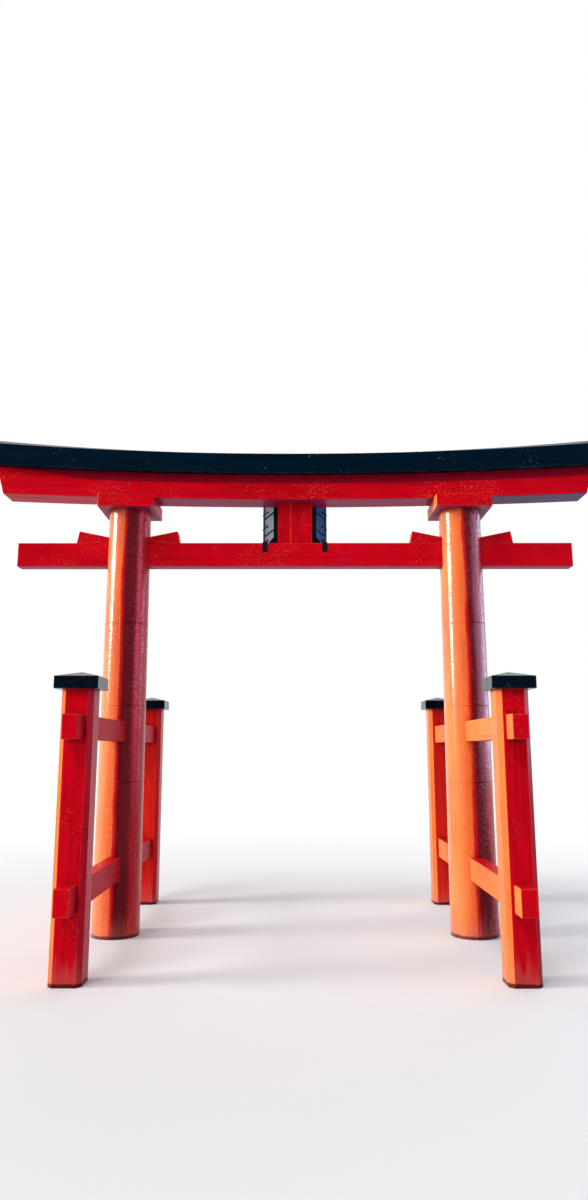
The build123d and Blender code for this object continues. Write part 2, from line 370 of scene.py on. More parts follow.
class WetFoot(Effect):
    """Wet band at the foot of a timber, and the stain that fades out above it."""

    name = "wet_foot"
    values = {"Wet": 0.04, "Splash": 0.5}
    results = ("Wet", "Stain")
    ripples: ClassVar[Triple] = (6.0, 6.0, 2.0)
    runs: ClassVar[Triple] = (22.0, 22.0, 1.6)
    soaked: ClassVar[float] = 0.75
    shortest_run: ClassVar[float] = 0.25

    @classmethod
    def write(cls, wiring: Wiring, given: Outputs) -> dict[str, Socket]:
        """Measure the height over the gate's feet, and make it uneven by noise.

        Args:
            wiring: The group's tree.
            given: The group's inputs.

        Returns:
            The masks of the wet band and of the stain.
        """
        height = wiring.place("ShaderNodeSeparateXYZ", {0: given["Place"]}).outputs["Z"]
        ripple = wiring.noise(wiring.scaled(given["Place"], cls.ripples), detail=4.0)
        wobble = wiring.open_maths("MULTIPLY", wiring.open_maths("SUBTRACT", ripple, 0.5), given["Wet"])
        level = wiring.open_maths("ADD", height, wobble)
        soaked = wiring.open_maths("MULTIPLY", given["Wet"], cls.soaked)
        runs = wiring.noise(wiring.scaled(given["Place"], cls.runs))
        runs = wiring.rise(runs, start=0.25, end=0.75, low=cls.shortest_run)
        reach = wiring.open_maths("MULTIPLY", given["Splash"], runs)
        return {"Wet": wiring.rise(level, given["Wet"], soaked), "Stain": wiring.rise(level, reach, 0.0)}


class SunAndShade(Effect):
    """Painted light and shade: paint made lighter where it faces the low sun, and darker where it faces away.
    """

    name = "painted_sun_and_shade"
    vectors = ("Side",)
    values = {"Unevenness": 0.5, "Border": 0.35, "Softness": 0.22, "Shade Border": -0.02}
    results = ("Sunlit", "Chalked", "Shaded", "Deeply Shaded")
    waver: ClassVar[float] = 0.35
    glare_from: ClassVar[float] = 0.35
    glare_full: ClassVar[float] = 0.9
    deep_shade_from: ClassVar[float] = -0.32
    deep_shade_full: ClassVar[float] = -0.55

    @classmethod
    def write(cls, wiring: Wiring, given: Outputs) -> dict[str, Socket]:
        """Measure how squarely a face looks towards the sunny side, with an uneven border.

        Args:
            wiring: The group's tree.
            given: The group's inputs.

        Returns:
            The masks of painted sunlight, painted glare and painted shade, and of deeper painted shade on
            faces turned far from the sun.
        """
        facing = wiring.place("ShaderNodeNewGeometry").outputs["Normal"]
        toward = wiring.agreement(facing, given["Side"])
        wobble = wiring.open_maths("SUBTRACT", given["Unevenness"], 0.5)
        uneven = wiring.open_maths("MULTIPLY_ADD", wobble, cls.waver, toward)
        sunlit_to = wiring.open_maths("ADD", given["Border"], given["Softness"])
        shaded_to = wiring.open_maths("SUBTRACT", given["Shade Border"], given["Softness"])
        return {
            "Sunlit": wiring.rise(uneven, given["Border"], sunlit_to),
            "Chalked": wiring.rise(uneven, cls.glare_from, cls.glare_full),
            "Shaded": wiring.rise(uneven, given["Shade Border"], shaded_to),
            "Deeply Shaded": wiring.rise(uneven, cls.deep_shade_from, cls.deep_shade_full),
        }


class RoofShadowBand(Effect):
    """Painted shadow of the roof: a deep band close below it, narrowing to nothing towards the left end."""

    name = "painted_roof_shadow"
    values = {"Underside": 6.5, "Sweep": 0.0, "Depth": 0.14, "Start": -4.4, "Full": -3.0}
    waver: ClassVar[float] = 0.03
    edge: ClassVar[tuple[float, float]] = (-0.01, 0.012)

    @classmethod
    def write(cls, wiring: Wiring, given: Outputs) -> dict[str, Socket]:
        """Measure the height over a line that follows the swept underside of the roof.

        Args:
            wiring: The group's tree.
            given: The group's inputs.

        Returns:
            The band's mask.
        """
        place = wiring.place("ShaderNodeSeparateXYZ", {0: given["Place"]}).outputs
        square = wiring.open_maths("MULTIPLY", place["X"], place["X"])
        underside = wiring.open_maths("MULTIPLY_ADD", square, given["Sweep"], given["Underside"])
        depth = wiring.rise(place["X"], given["Start"], given["Full"], high=given["Depth"])
        above = wiring.open_maths("ADD", wiring.open_maths("SUBTRACT", place["Z"], underside), depth)
        above = wiring.open_maths("SUBTRACT", above, cls.waver / 2)
        wobble = wiring.noise(given["Place"], scale=5.0, detail=4.0)
        above = wiring.open_maths("MULTIPLY_ADD", wobble, cls.waver, above)
        return {"Mask": wiring.rise(above, *cls.edge)}


@dataclass(frozen=True)
class Finish:
    """What every finish has: a name, and a way to write its material."""

    name: str

    def material(self) -> bpy.types.Material:
        """Find the finish's material, or write it when it is first needed.

        Returns:
            The material.
        """
        found = bpy.data.materials.get(self.name)
        if found:
            return found
        material = bpy.data.materials.new(self.name)
        material.use_nodes = True
        material.node_tree.nodes.clear()
        wiring = Wiring(material.node_tree)
        wiring.place("ShaderNodeOutputMaterial", {"Surface": self.surface(wiring)})
        return material

    def surface(self, wiring: Wiring) -> Socket:
        """Place the finish's nodes, and hand on its shader."""
        raise NotImplementedError

    def apply(self, *pieces: Piece) -> list[Piece]:
        """Put the finish on pieces, in place of what they had.

        Args:
            *pieces: The pieces.

        Returns:
            The same pieces.
        """
        for piece in pieces:
            piece.data.materials.clear()
            piece.data.materials.append(self.material())
        return list(pieces)


@dataclass(frozen=True)
class PaintMarks:
    """Where the marks of one paint lie, as masks and values over its surface."""

    strokes: Outputs
    clouds: Outputs
    sun_and_shade: Outputs
    foot: Outputs
    rain: Socket
    blisters: Socket
    worn: Socket
    shade_and_grime: Socket


@dataclass(frozen=True)
class VermilionPaint(Finish):
    """Glossy vermilion enamel on timber, brushed along the grain, with painted sunlight on the sun's side and
    painted shade away from it.
    """

    grain: Grain = Grain.UPRIGHT
    main: Colour = paint(214, 6, 27)
    # Painted light and shade: the next four colours stand for low sun on the faces towards it, and for shade
    # on the faces turned away.
    sunlit_colour: Colour = paint(240, 112, 50)
    glare_colour: Colour = paint(246, 144, 76)
    shade_tint: Colour = (0.95, 0.75, 1.0, 1.0)
    deep_shade_tint: Colour = (0.95, 0.75, 1.0, 1.0)
    # Painted reflection of the sky, laid on shaded faces.
    sky_reflection: Colour = paint(112, 66, 116)
    # Painted shadow of the roof, on the lintel.
    roof_shadow: Colour = paint(128, 8, 34)
    brushed: Colour = (0.62, 0.42, 0.55, 1.0)
    clouded: Colour = (0.66, 0.5, 0.7, 1.0)
    # Colour of the painted highlights on blisters, and of edges where the paint is rubbed thin.
    highlight_and_worn_edge: Colour = paint(240, 92, 62)
    # Painted shade in closed-in spots, which also stands for soot.
    shade_and_soot: Colour = paint(58, 8, 12)
    wet_shade: Colour = paint(62, 10, 14)
    chalk: Colour = paint(206, 118, 108)
    sun_side: Triple = (-0.98, 0.0, 0.2)
    sunlit_share: float = 0.9
    rain_marks: float = 0.3
    roughness: float = 0.27
    gloss: float = 0.05
    gloss_tint: Colour = (1.0, 0.35, 0.4, 1.0)
    ripple: float = 0.004
    blister_size: float = 0.024
    blister_share: float = 0.5
    blister_highlight: float = 0.5
    blister_density: float = 0.5
    blisters_at_supports: float = 0.0
    pitting: float = 0.3
    border: float = 0.28
    border_softness: float = 0.12
    shade_border: float = -0.05
    brushing: float = 0.4
    clouding: float = 0.6
    roof_shadow_share: float = 0.0
    sky_reflection_share: float = 0.12
    sky_reflection_on_deep_shade: float = 1.0
    wear: float = 0.5
    shade_and_grime_share: float = 0.6
    stain_share: float = 0.3
    wet_share: float = 0.85
    varnish: float = 0.0
    varnish_roughness: float = 0.13

    def surface(self, wiring: Wiring) -> Socket:
        """Place the paint's nodes.

        Args:
            wiring: The material's tree.

        Returns:
            The paint's shader.
        """
        place = wiring.position()
        marks = self.marks(wiring, place)
        inputs = {
            "Base Color": self.colour(wiring, place, marks),
            "Roughness": self.dullness(wiring, marks),
            "Specular IOR Level": self.gloss,
            "Specular Tint": self.gloss_tint,
            "Normal": self.relief(wiring, marks),
        }
        if self.varnish:
            inputs["Coat Weight"] = self.varnish_cover(wiring, marks)
            inputs["Coat Roughness"] = self.varnish_roughness
        return wiring.shader(inputs)

    def marks(self, wiring: Wiring, place: Socket) -> PaintMarks:
        """Place the effects that this paint shares with others.

        Args:
            wiring: The material's tree.
            place: Place on the gate.

        Returns:
            Where each kind of mark lies.
        """
        strokes = wiring.drawn(place, self.grain.stretch(across=0.04, along=0.9), start=0.45, end=0.7)
        clouds = wiring.drawn(place, self.grain.stretch(across=0.4, along=1.2), start=0.4, end=0.72)
        rain = wiring.drawn(place, Grain.UPRIGHT.stretch(across=0.03, along=1.3), start=0.56, end=0.7)
        blisters = wiring.effect(
            Blisters,
            {
                "Place": place,
                "Size": self.blister_size,
                "Patch": 0.7,
                "Share": self.blister_share,
                "Boost": self.support_boost(wiring, place),
                "Density": self.blister_density,
            },
        )
        swing = 0.4
        unevenness = wiring.open_maths("MULTIPLY_ADD", strokes["Value"], swing, -swing / 2)
        # Painted light and shade, by how squarely each face looks towards the sun.
        sun_and_shade = wiring.effect(
            SunAndShade,
            {
                "Side": self.sun_side,
                "Unevenness": wiring.open_maths("ADD", clouds["Value"], unevenness),
                "Border": self.border,
                "Softness": self.border_softness,
                "Shade Border": self.shade_border,
            },
        )
        worn = wiring.effect(WornEdges, {"Place": place, "Reach": 0.018, "Patch": 0.2, "Share": 0.62})
        # Painted shade, also standing for grime, in closed-in spots where timbers meet.
        shade_and_grime = wiring.effect(CornerShadeAndGrime, {"Place": place, "Reach": 0.16, "Patch": 0.25})
        foot = wiring.effect(WetFoot, {"Place": place, "Wet": 0.05, "Splash": 0.55})
        return PaintMarks(
            strokes, clouds, sun_and_shade, foot, rain["Mask"], blisters["Mask"], worn["Mask"], shade_and_grime["Mask"]
        )

    def support_boost(self, wiring: Wiring, place: Socket) -> Socket:
        """Give more blisters, and so more painted highlights, over the columns and the strut.

        Args:
            wiring: The material's tree.
            place: Place on the gate.

        Returns:
            What is added to the pattern of the blisters' patches.
        """
        begins, full = 0.95, 0.35
        along = wiring.place("ShaderNodeSeparateXYZ", {0: place}).outputs["X"]
        # Folded at a quarter of the columns' spacing, the distance is 0 at the strut and at both columns.
        distance = wiring.open_maths("PINGPONG", along, COLUMN_SPACING / 4)
        return wiring.rise(distance, begins, full, high=self.blisters_at_supports)

    def colour(self, wiring: Wiring, place: Socket, marks: PaintMarks) -> Socket:
        """Lay the painted light and shade, the painted sky reflection, highlights and roof shadow, and the
        marks, over the paint's own colour.

        Args:
            wiring: The material's tree.
            place: Place on the gate.
            marks: Where the marks lie.

        Returns:
            The colour over the surface.
        """
        sun_and_shade = marks.sun_and_shade
        # Painted light: lighter and more orange towards the sun; painted shade: darker away from it.
        pale = wiring.mix(sun_and_shade["Chalked"], self.sunlit_colour, self.glare_colour)
        colour = wiring.mix(wiring.share(sun_and_shade["Sunlit"], self.sunlit_share), self.main, pale)
        shade = wiring.mix(sun_and_shade["Deeply Shaded"], self.shade_tint, self.deep_shade_tint)
        colour = wiring.darken(sun_and_shade["Shaded"], colour, shade)
        # Painted reflection: a lilac-blue sky reflection on the shaded faces.
        sky_reflection = wiring.share(sun_and_shade["Shaded"], self.sky_reflection_share)
        on_ends = wiring.rise(sun_and_shade["Deeply Shaded"], start=0.0, end=1.0, low=1.0, high=self.sky_reflection_on_deep_shade)
        sky_reflection = wiring.share(sky_reflection, on_ends)
        colour = wiring.mix(sky_reflection, colour, self.sky_reflection)
        colour = wiring.darken(wiring.share(marks.clouds["Mask"], self.clouding), colour, self.clouded)
        colour = wiring.darken(wiring.share(marks.strokes["Mask"], self.brushing), colour, self.brushed)
        # Painted highlight: blisters shown as bright spots that catch the light.
        colour = wiring.mix(wiring.share(marks.blisters, self.blister_highlight), colour, self.highlight_and_worn_edge)
        colour = wiring.darken(wiring.share(marks.rain, self.rain_marks), colour, self.brushed)
        colour = wiring.mix(wiring.share(marks.worn, self.wear), colour, self.highlight_and_worn_edge)
        # Painted shadow: the roof's shadow as a deep band along the top of the lintel.
        if self.roof_shadow_share:
            underside, sweep = roof_sweep()
            shadow_band = wiring.effect(RoofShadowBand, {"Place": place, "Underside": underside, "Sweep": sweep})
            colour = wiring.mix(wiring.share(shadow_band["Mask"], self.roof_shadow_share), colour, self.roof_shadow)
        # Painted shade and soot: darker where timbers meet and in closed-in spots.
        colour = wiring.mix(wiring.share(marks.shade_and_grime, self.shade_and_grime_share), colour, self.shade_and_soot)
        colour = wiring.mix(wiring.share(marks.foot["Stain"], self.stain_share), colour, self.chalk)
        return wiring.mix(wiring.share(marks.foot["Wet"], self.wet_share), colour, self.wet_shade)

    def dullness(self, wiring: Wiring, marks: PaintMarks) -> Socket:
        """Roughen the paint in brush strokes and grime, and smooth it where it is wet.

        Args:
            wiring: The material's tree.
            marks: Where the marks lie.

        Returns:
            The roughness over the surface.
        """
        in_strokes, in_shade_and_grime, in_wet = 0.16, 0.3, 0.15
        rough = marks.strokes["Value"]
        rough = wiring.open_maths("MULTIPLY_ADD", rough, in_strokes, self.roughness - in_strokes / 2)
        rough = wiring.open_maths("MULTIPLY_ADD", marks.shade_and_grime, in_shade_and_grime, rough)
        return wiring.maths("SUBTRACT", rough, wiring.share(marks.foot["Wet"], in_wet))

    def relief(self, wiring: Wiring, marks: PaintMarks) -> Socket:
        """Raise brush strokes and blisters on the slow swells of the timber.

        Args:
            wiring: The material's tree.
            marks: Where the marks lie.

        Returns:
            The direction of the rippled surface.
        """
        stroke_height, swell_height, strength = 0.2, 3.0, 0.55
        height = wiring.open_maths("MULTIPLY", marks.strokes["Value"], stroke_height)
        height = wiring.open_maths("MULTIPLY_ADD", marks.blisters, self.pitting, height)
        height = wiring.open_maths("MULTIPLY_ADD", marks.clouds["Value"], swell_height, height)
        return wiring.bump(height, strength, self.ripple)

    def varnish_cover(self, wiring: Wiring, marks: PaintMarks) -> Socket:
        """Keep the clear coat to the sun's side, thin in brush strokes and chipped at blisters.

        Args:
            wiring: The material's tree.
            marks: Where the marks lie.

        Returns:
            The weight of the coat over the surface.
        """
        chipping, thinnest = 0.75, 0.3
        streaks = wiring.rise(marks.strokes["Value"], start=0.38, end=0.6, low=thinnest)
        whole = wiring.share(marks.sun_and_shade["Sunlit"], streaks)
        left = wiring.maths("SUBTRACT", whole, wiring.share(marks.blisters, chipping))
        return wiring.share(left, self.varnish)


@dataclass(frozen=True)
class BlackLacquer(Finish):
    """Blue-black lacquer, brushed and clouded, with pale specks, and painted sunlight on faces towards the
    sun.
    """

    grain: Grain = Grain.ALONG_GATE
    main: Colour = paint(3, 16, 26)
    greyed: Colour = paint(16, 34, 46)
    sunlit_colour: Colour = paint(24, 38, 50)
    speck: Colour = paint(150, 170, 180)
    dust: Colour = paint(96, 104, 112)
    sun_side: Triple = (-0.97, -0.16, 0.2)
    border: float = 0.35
    roughness: float = 0.3
    gloss: float = 0.1
    gloss_tint: Colour = (0.3, 0.6, 0.8, 1.0)
    specks: float = 0.2
    speck_size: float = 0.05
    speck_density: float = 0.5
    clouding: float = 0.35
    brushing: float = 0.3
    wear: float = 0.5

    def surface(self, wiring: Wiring) -> Socket:
        """Place the lacquer's nodes.

        Args:
            wiring: The material's tree.

        Returns:
            The lacquer's shader.
        """
        place = wiring.position()
        strokes = wiring.drawn(place, self.grain.stretch(across=0.04, along=0.8), start=0.45, end=0.75)
        clouds = wiring.drawn(place, self.grain.stretch(across=0.35, along=1.0), start=0.4, end=0.75)
        spread = {"Size": self.speck_size, "Patch": 0.4, "Share": 0.44, "Density": self.speck_density}
        specks = wiring.effect(Blisters, {"Place": place, **spread})
        worn = wiring.effect(WornEdges, {"Place": place, "Reach": 0.014, "Patch": 0.12, "Share": 0.55})
        sun_and_shade = wiring.effect(
            SunAndShade, {"Side": self.sun_side, "Unevenness": clouds["Value"], "Border": self.border}
        )
        # Painted light: lighter on faces that look towards the sun.
        colour = wiring.mix(sun_and_shade["Sunlit"], self.main, self.sunlit_colour)
        colour = wiring.mix(wiring.share(clouds["Mask"], self.clouding), colour, self.greyed)
        colour = wiring.mix(wiring.share(strokes["Mask"], self.brushing), colour, self.greyed)
        colour = wiring.mix(wiring.share(specks["Mask"], self.specks), colour, self.speck)
        colour = wiring.mix(wiring.share(worn["Mask"], self.wear), colour, self.dust)
        in_strokes, smoothest, swell_height = 0.25, self.roughness - 0.1, 3.0
        height = wiring.open_maths("MULTIPLY_ADD", clouds["Value"], swell_height, strokes["Value"])
        return wiring.shader(
            {
                "Base Color": colour,
                "Roughness": wiring.open_maths("MULTIPLY_ADD", strokes["Value"], in_strokes, smoothest),
                "Specular IOR Level": self.gloss,
                "Specular Tint": self.gloss_tint,
                "Normal": wiring.bump(height, strength=0.4, distance=0.003),
            }
        )


@dataclass(frozen=True)
class HookIron(Finish):
    """Forged iron, painted black and rusting in patches."""

    black: Colour = paint(6, 12, 24)
    rust: Colour = paint(70, 40, 28)
    rusting: float = 0.45
    gloss: float = 0.2
    metal: float = 0.2
    sound_roughness: float = 0.42
    rust_roughness: float = 0.85

    def surface(self, wiring: Wiring) -> Socket:
        """Place the iron's nodes.

        Args:
            wiring: The material's tree.

        Returns:
            The iron's shader.
        """
        place = wiring.position()
        forged = wiring.drawn(place, Grain.UPRIGHT.stretch(across=0.02, along=0.03), start=0.55, end=0.7)
        worn = wiring.effect(WornEdges, {"Place": place, "Reach": 0.006, "Patch": 0.04, "Share": 0.6})
        rusted = wiring.maths("MAXIMUM", forged["Mask"], worn["Mask"])
        return wiring.shader(
            {
                "Base Color": wiring.mix(wiring.share(rusted, self.rusting), self.black, self.rust),
                "Roughness": wiring.rise(rusted, 0.0, 1.0, self.sound_roughness, self.rust_roughness),
                "Metallic": wiring.rise(rusted, 0.0, 1.0, self.metal, 0.0),
                "Specular IOR Level": self.gloss,
                "Normal": wiring.bump(forged["Value"], strength=0.5, distance=0.002),
            }
        )


@dataclass(frozen=True)
class PaleFloor(Finish):
    """Pale studio floor that fades into the white background."""

    pale: Colour = paint(228, 228, 230)
    bounced: Colour = paint(192, 192, 196)
    roughness: float = 0.9
    fade_start: float = 5.0
    fade_end: float = 15.0

    def surface(self, wiring: Wiring) -> Socket:
        """Place the floor's nodes.

        Args:
            wiring: The material's tree.

        Returns:
            The floor's shader.
        """
        place = wiring.position()
        distance = wiring.place("ShaderNodeVectorMath", {0: place}, operation="LENGTH").outputs["Value"]
        seen = wiring.place("ShaderNodeLightPath").outputs
        colour = wiring.mix(seen["Is Diffuse Ray"], self.pale, self.bounced)
        matt = wiring.shader({"Base Color": colour, "Roughness": self.roughness})
        white = wiring.place("ShaderNodeEmission", {"Color": WHITE, "Strength": 1.0}).outputs[0]
        by_eye = wiring.maths("ADD", seen["Is Camera Ray"], seen["Is Glossy Ray"])
        faded = wiring.share(wiring.rise(distance, self.fade_start, self.fade_end), by_eye)
        return wiring.place("ShaderNodeMixShader", {0: faded, 1: matt, 2: white}).outputs[0]


# Columns: painted sunlight and glare on the side towards the sun, deep painted shade on the side away from
# it.
COLUMN_PAINT = VermilionPaint(
    "vermilion_column",
    sun_side=(-0.97, -0.16, 0.2),
    main=paint(206, 10, 24),
    sunlit_colour=paint(244, 107, 34),
    shade_tint=(0.2, 0.3, 0.5, 1.0),
    deep_shade_tint=(0.85, 0.6, 1.0, 1.0),
    sky_reflection_share=0.0,
    sunlit_share=1.0,
    roughness=0.22,
    gloss=0.6,
    gloss_tint=(1.0, 0.16, 0.2, 1.0),
    ripple=0.007,
    blister_size=0.03,
    blister_share=0.62,
    blister_highlight=0.06,
    blister_density=1.0,
    pitting=1.2,
    border=0.19,
    border_softness=0.1,
    shade_border=0.16,
    varnish=0.85,
)
RING_PAINT = replace(COLUMN_PAINT, name="vermilion_ring", wear=0.0, gloss=0.15)
UPRIGHT_PAINT = VermilionPaint("vermilion_upright", brushing=0.6)
# Painted light: the back posts are painted lighter and more orange, as if standing in the sun.
SUNLIT_BACK_POST_PAINT = replace(UPRIGHT_PAINT, name="vermilion_back_post_sunlit", main=paint(226, 38, 28))
SEAM_PAINT = VermilionPaint("vermilion_seam", main=paint(246, 112, 92))
# Beams along the gate: stronger painted shade and a blue painted sky reflection on faces turned from the sun,
# and painted highlights on blisters near the supports.
GATEWISE_PAINT = VermilionPaint(
    "vermilion_along_gate",
    grain=Grain.ALONG_GATE,
    rain_marks=0.0,
    shade_tint=(0.6, 0.55, 0.95, 1.0),
    deep_shade_tint=(0.8, 0.55, 0.95, 1.0),
    sky_reflection=paint(84, 72, 176),
    sky_reflection_share=0.22,
    sky_reflection_on_deep_shade=0.2,
    roughness=0.34,
    ripple=0.0006,
    highlight_and_worn_edge=paint(250, 112, 72),
    blister_size=0.018,
    blister_share=0.47,
    blister_highlight=0.65,
    blister_density=0.45,
    blisters_at_supports=0.09,
    wear=0.28,
)
# The lintel adds the roof's painted shadow and brighter painted highlights on its blisters.
LINTEL_PAINT = replace(
    GATEWISE_PAINT, name="vermilion_lintel", blister_size=0.021, blister_highlight=0.85, roof_shadow_share=0.85
)
# The lintel's three lengths differ in painted shade and painted sky reflection: the left one's shaded faces
# are lighter, the right one's darker and bluer.
LINTEL_PAINTS = {
    "left": replace(
        LINTEL_PAINT, name="vermilion_lintel_left_lighter_shade", shade_tint=(1.0, 0.8, 0.9, 1.0), sky_reflection_share=0.12
    ),
    "middle": LINTEL_PAINT,
    "right": replace(
        LINTEL_PAINT, name="vermilion_lintel_right_deeper_shade", shade_tint=(0.15, 0.4, 0.95, 1.0), sky_reflection_share=0.34
    ),
}
CROSSWISE_PAINT = VermilionPaint(
    "vermilion_through_gate",
    grain=Grain.THROUGH_GATE,
    rain_marks=0.0,
    gloss=0.03,
    roughness=0.38,
    ripple=0.0008,
)
ROOF_LACQUER = BlackLacquer(
    "roof_lacquer",
    main=paint(0, 16, 31),
    greyed=paint(8, 30, 46),
    speck=paint(214, 226, 232),
    speck_size=0.018,
    speck_density=0.12,
    specks=0.6,
    gloss=0.07,
    gloss_tint=(0.16, 0.5, 0.8, 1.0),
)
CAP_LACQUER = BlackLacquer(
    "cap_lacquer",
    grain=Grain.UPRIGHT,
    main=paint(2, 6, 11),
    greyed=paint(9, 16, 24),
    specks=0.1,
    roughness=0.22,
    gloss=0.5,
    gloss_tint=(0.04, 0.1, 0.2, 1.0),
)
# Plaque side boards: the blue-grey is partly painted sky reflection on dark lacquer, and the near-white is
# painted sunlight on the board that faces the sun.
PLAQUE_LACQUER = BlackLacquer(
    "plaque_frame_lacquer",
    grain=Grain.UPRIGHT,
    main=paint(48, 84, 140),
    greyed=paint(84, 116, 156),
    sunlit_colour=paint(214, 255, 255),
    sun_side=(-0.8, -0.5, 0.2),
    border=0.45,
    gloss=0.3,
)
CROSS_BOARD_LACQUER = replace(
    PLAQUE_LACQUER, name="plaque_cross_board_lacquer", main=paint(14, 24, 48), greyed=paint(28, 42, 72)
)
# Painted shade: the rim battens' darker lacquer stands for the rim facet turned away from the light.
SHADED_EDGE_LACQUER = BlackLacquer(
    "plaque_edge_lacquer_shaded",
    grain=Grain.UPRIGHT,
    main=paint(34, 58, 98),
    greyed=paint(52, 78, 112),
    sunlit_colour=paint(66, 92, 126),
    gloss=0.3,
)
BOARD_LACQUER = BlackLacquer(
    "plaque_board_lacquer", main=paint(8, 14, 30), greyed=paint(24, 34, 56), gloss=0.12, specks=0.05
)
IRON = HookIron("forged_iron", gloss=0.1)
STUD_IRON = HookIron("stud_iron", black=paint(2, 6, 16), rusting=0.12, gloss=0.05)


def keep(piece: Piece) -> Piece:
    """Make a new piece part of the gate.

    Args:
        piece: The piece, in its place.

    Returns:
        The same piece.
    """
    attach(piece, "root")
    return piece


def piece_from(shape: Shape, name: str, smooth: bool = False) -> Piece:
    """Turn a finished shape into an object in the scene.

    Args:
        shape: The shape, which is used up.
        name: The piece's name.
        smooth: Whether its faces shade as one round surface.

    Returns:
        The new object.
    """
    bmesh.ops.recalc_face_normals(shape, faces=shape.faces)
    for face in shape.faces:
        face.smooth = smooth
    mesh = bpy.data.meshes.new(name)
    shape.to_mesh(mesh)
    shape.free()
    piece = bpy.data.objects.new(name, mesh)
    bpy.context.scene.collection.objects.link(piece)
    return piece


def prism(shape: Shape, outline: Iterable[Vector], push: Vector) -> None:
    """Add a closed prism to a shape.

    Args:
        shape: The shape that takes the prism.
        outline: Corners of one end, in order.
        push: From that end to the other.
    """
    near = [shape.verts.new(point) for point in outline]
    far = [shape.verts.new(vertex.co + push) for vertex in near]
    shape.faces.new(near)
    shape.faces.new(list(reversed(far)))
    for index, vertex in enumerate(near):
        following = (index + 1) % len(near)
        shape.faces.new((vertex, far[index], far[following], near[following]))


class Assembly:
    """A part of the gate that is dressed in one go."""

    def build(self) -> list[Piece]:
        """Finish the assembly's timbers, add its small pieces, and hand on all of them."""
        raise NotImplementedError


@dataclass
class Column(Assembly):
    """One main column: its paint and the joint rings of its outer sheet."""

    side: str
    joint_heights: tuple[float, ...] = (2.085, 3.155, 4.35)
    ring_height: float = 0.014
    ring_stand: float = 0.002
    ring_sunk: float = 0.004
    ring_flat: float = 0.4
    ring_shoulder: float = 0.6
    steps: int = 96

    @property
    def node(self) -> Piece:
        """The column's timber."""
        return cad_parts[f"main_column_{self.side}"]

    def radius_at(self, height: float) -> float:
        """Measure the tapered column.

        Args:
            height: Height over its foot.

        Returns:
            Its radius there.
        """
        slack = 0.001
        low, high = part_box(self.node.name)
        foot = (high.x - low.x) / 2
        axis = (high.x + low.x) / 2
        rim = (vertex.co for vertex in self.node.data.vertices if vertex.co.z > high.z - slack)
        top = max(hypot(corner.x - axis, corner.y) for corner in rim)
        return foot + (top - foot) * height / high.z

    def build_joint_ring(self, number: int, height: float) -> Piece:
        """Build one ring where two lengths of the column's sheet meet.

        Args:
            number: The ring's place, counted from the foot.
            height: Height of the ring's middle.

        Returns:
            The ring.
        """
        low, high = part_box(self.node.name)
        axis = Vector(((low.x + high.x) / 2, 0.0, 0.0))
        radius = self.radius_at(height)
        half = self.ring_height / 2
        lower = (
            (radius - self.ring_sunk, -half),
            (radius + self.ring_stand * self.ring_shoulder, -half),
            (radius + self.ring_stand, -half * self.ring_flat),
        )
        profile = [(reach, height + rise) for reach, rise in lower]
        profile += [(reach, height - rise) for reach, rise in reversed(lower)]
        shape = bmesh.new()
        rows = []
        for step in range(self.steps):
            turn = Matrix.Rotation(2 * pi * step / self.steps, 3, "Z")
            rows.append([shape.verts.new(axis + turn @ Vector((reach, 0.0, z))) for reach, z in profile])
        for row, following in zip(rows, rows[1:] + rows[:1]):
            for corner in range(len(profile)):
                after = (corner + 1) % len(profile)
                shape.faces.new((row[corner], following[corner], following[after], row[after]))
        ring = piece_from(shape, f"column_ring_{self.side}_{number}", smooth=True)
        RING_PAINT.apply(ring)
        return keep(ring)

    def build(self) -> list[Piece]:
        """Paint the column and add its rings.

        Returns:
            The column and its rings.
        """
        pieces = COLUMN_PAINT.apply(self.node)
        for number, height in enumerate(self.joint_heights, 1):
            pieces.append(self.build_joint_ring(number, height))
        return pieces


@dataclass
class BraceFrame(Assembly):
    """The two posts beside one column, their caps and the tie beams through all three."""

    side: str

    def build(self) -> list[Piece]:
        """Paint posts and beams, and lacquer the caps.

        Returns:
            The frame's timbers.
        """
        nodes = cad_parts
        pieces = []
        for row, finish in (("front", UPRIGHT_PAINT), ("back", SUNLIT_BACK_POST_PAINT)):
            pieces += finish.apply(nodes[f"brace_post_{self.side}_{row}"])
            pieces += CAP_LACQUER.apply(nodes[f"post_cap_{self.side}_{row}"])
        for level in ("upper", "lower"):
            pieces += CROSSWISE_PAINT.apply(nodes[f"{level}_tie_beam_{self.side}"])
        return pieces


@dataclass
class Crown(Assembly):
    """Head blocks, lintel and roof beam."""

    def build(self) -> list[Piece]:
        """Paint the lintel and its blocks, and lacquer the roof beam.

        Returns:
            The crown's timbers.
        """
        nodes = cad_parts
        pieces = []
        for part, finish in LINTEL_PAINTS.items():
            pieces += finish.apply(nodes[f"lintel_{part}"])
        pieces += GATEWISE_PAINT.apply(*(nodes[f"head_block_{side}"] for side in SIDES))
        return pieces + ROOF_LACQUER.apply(nodes["roof_beam"])


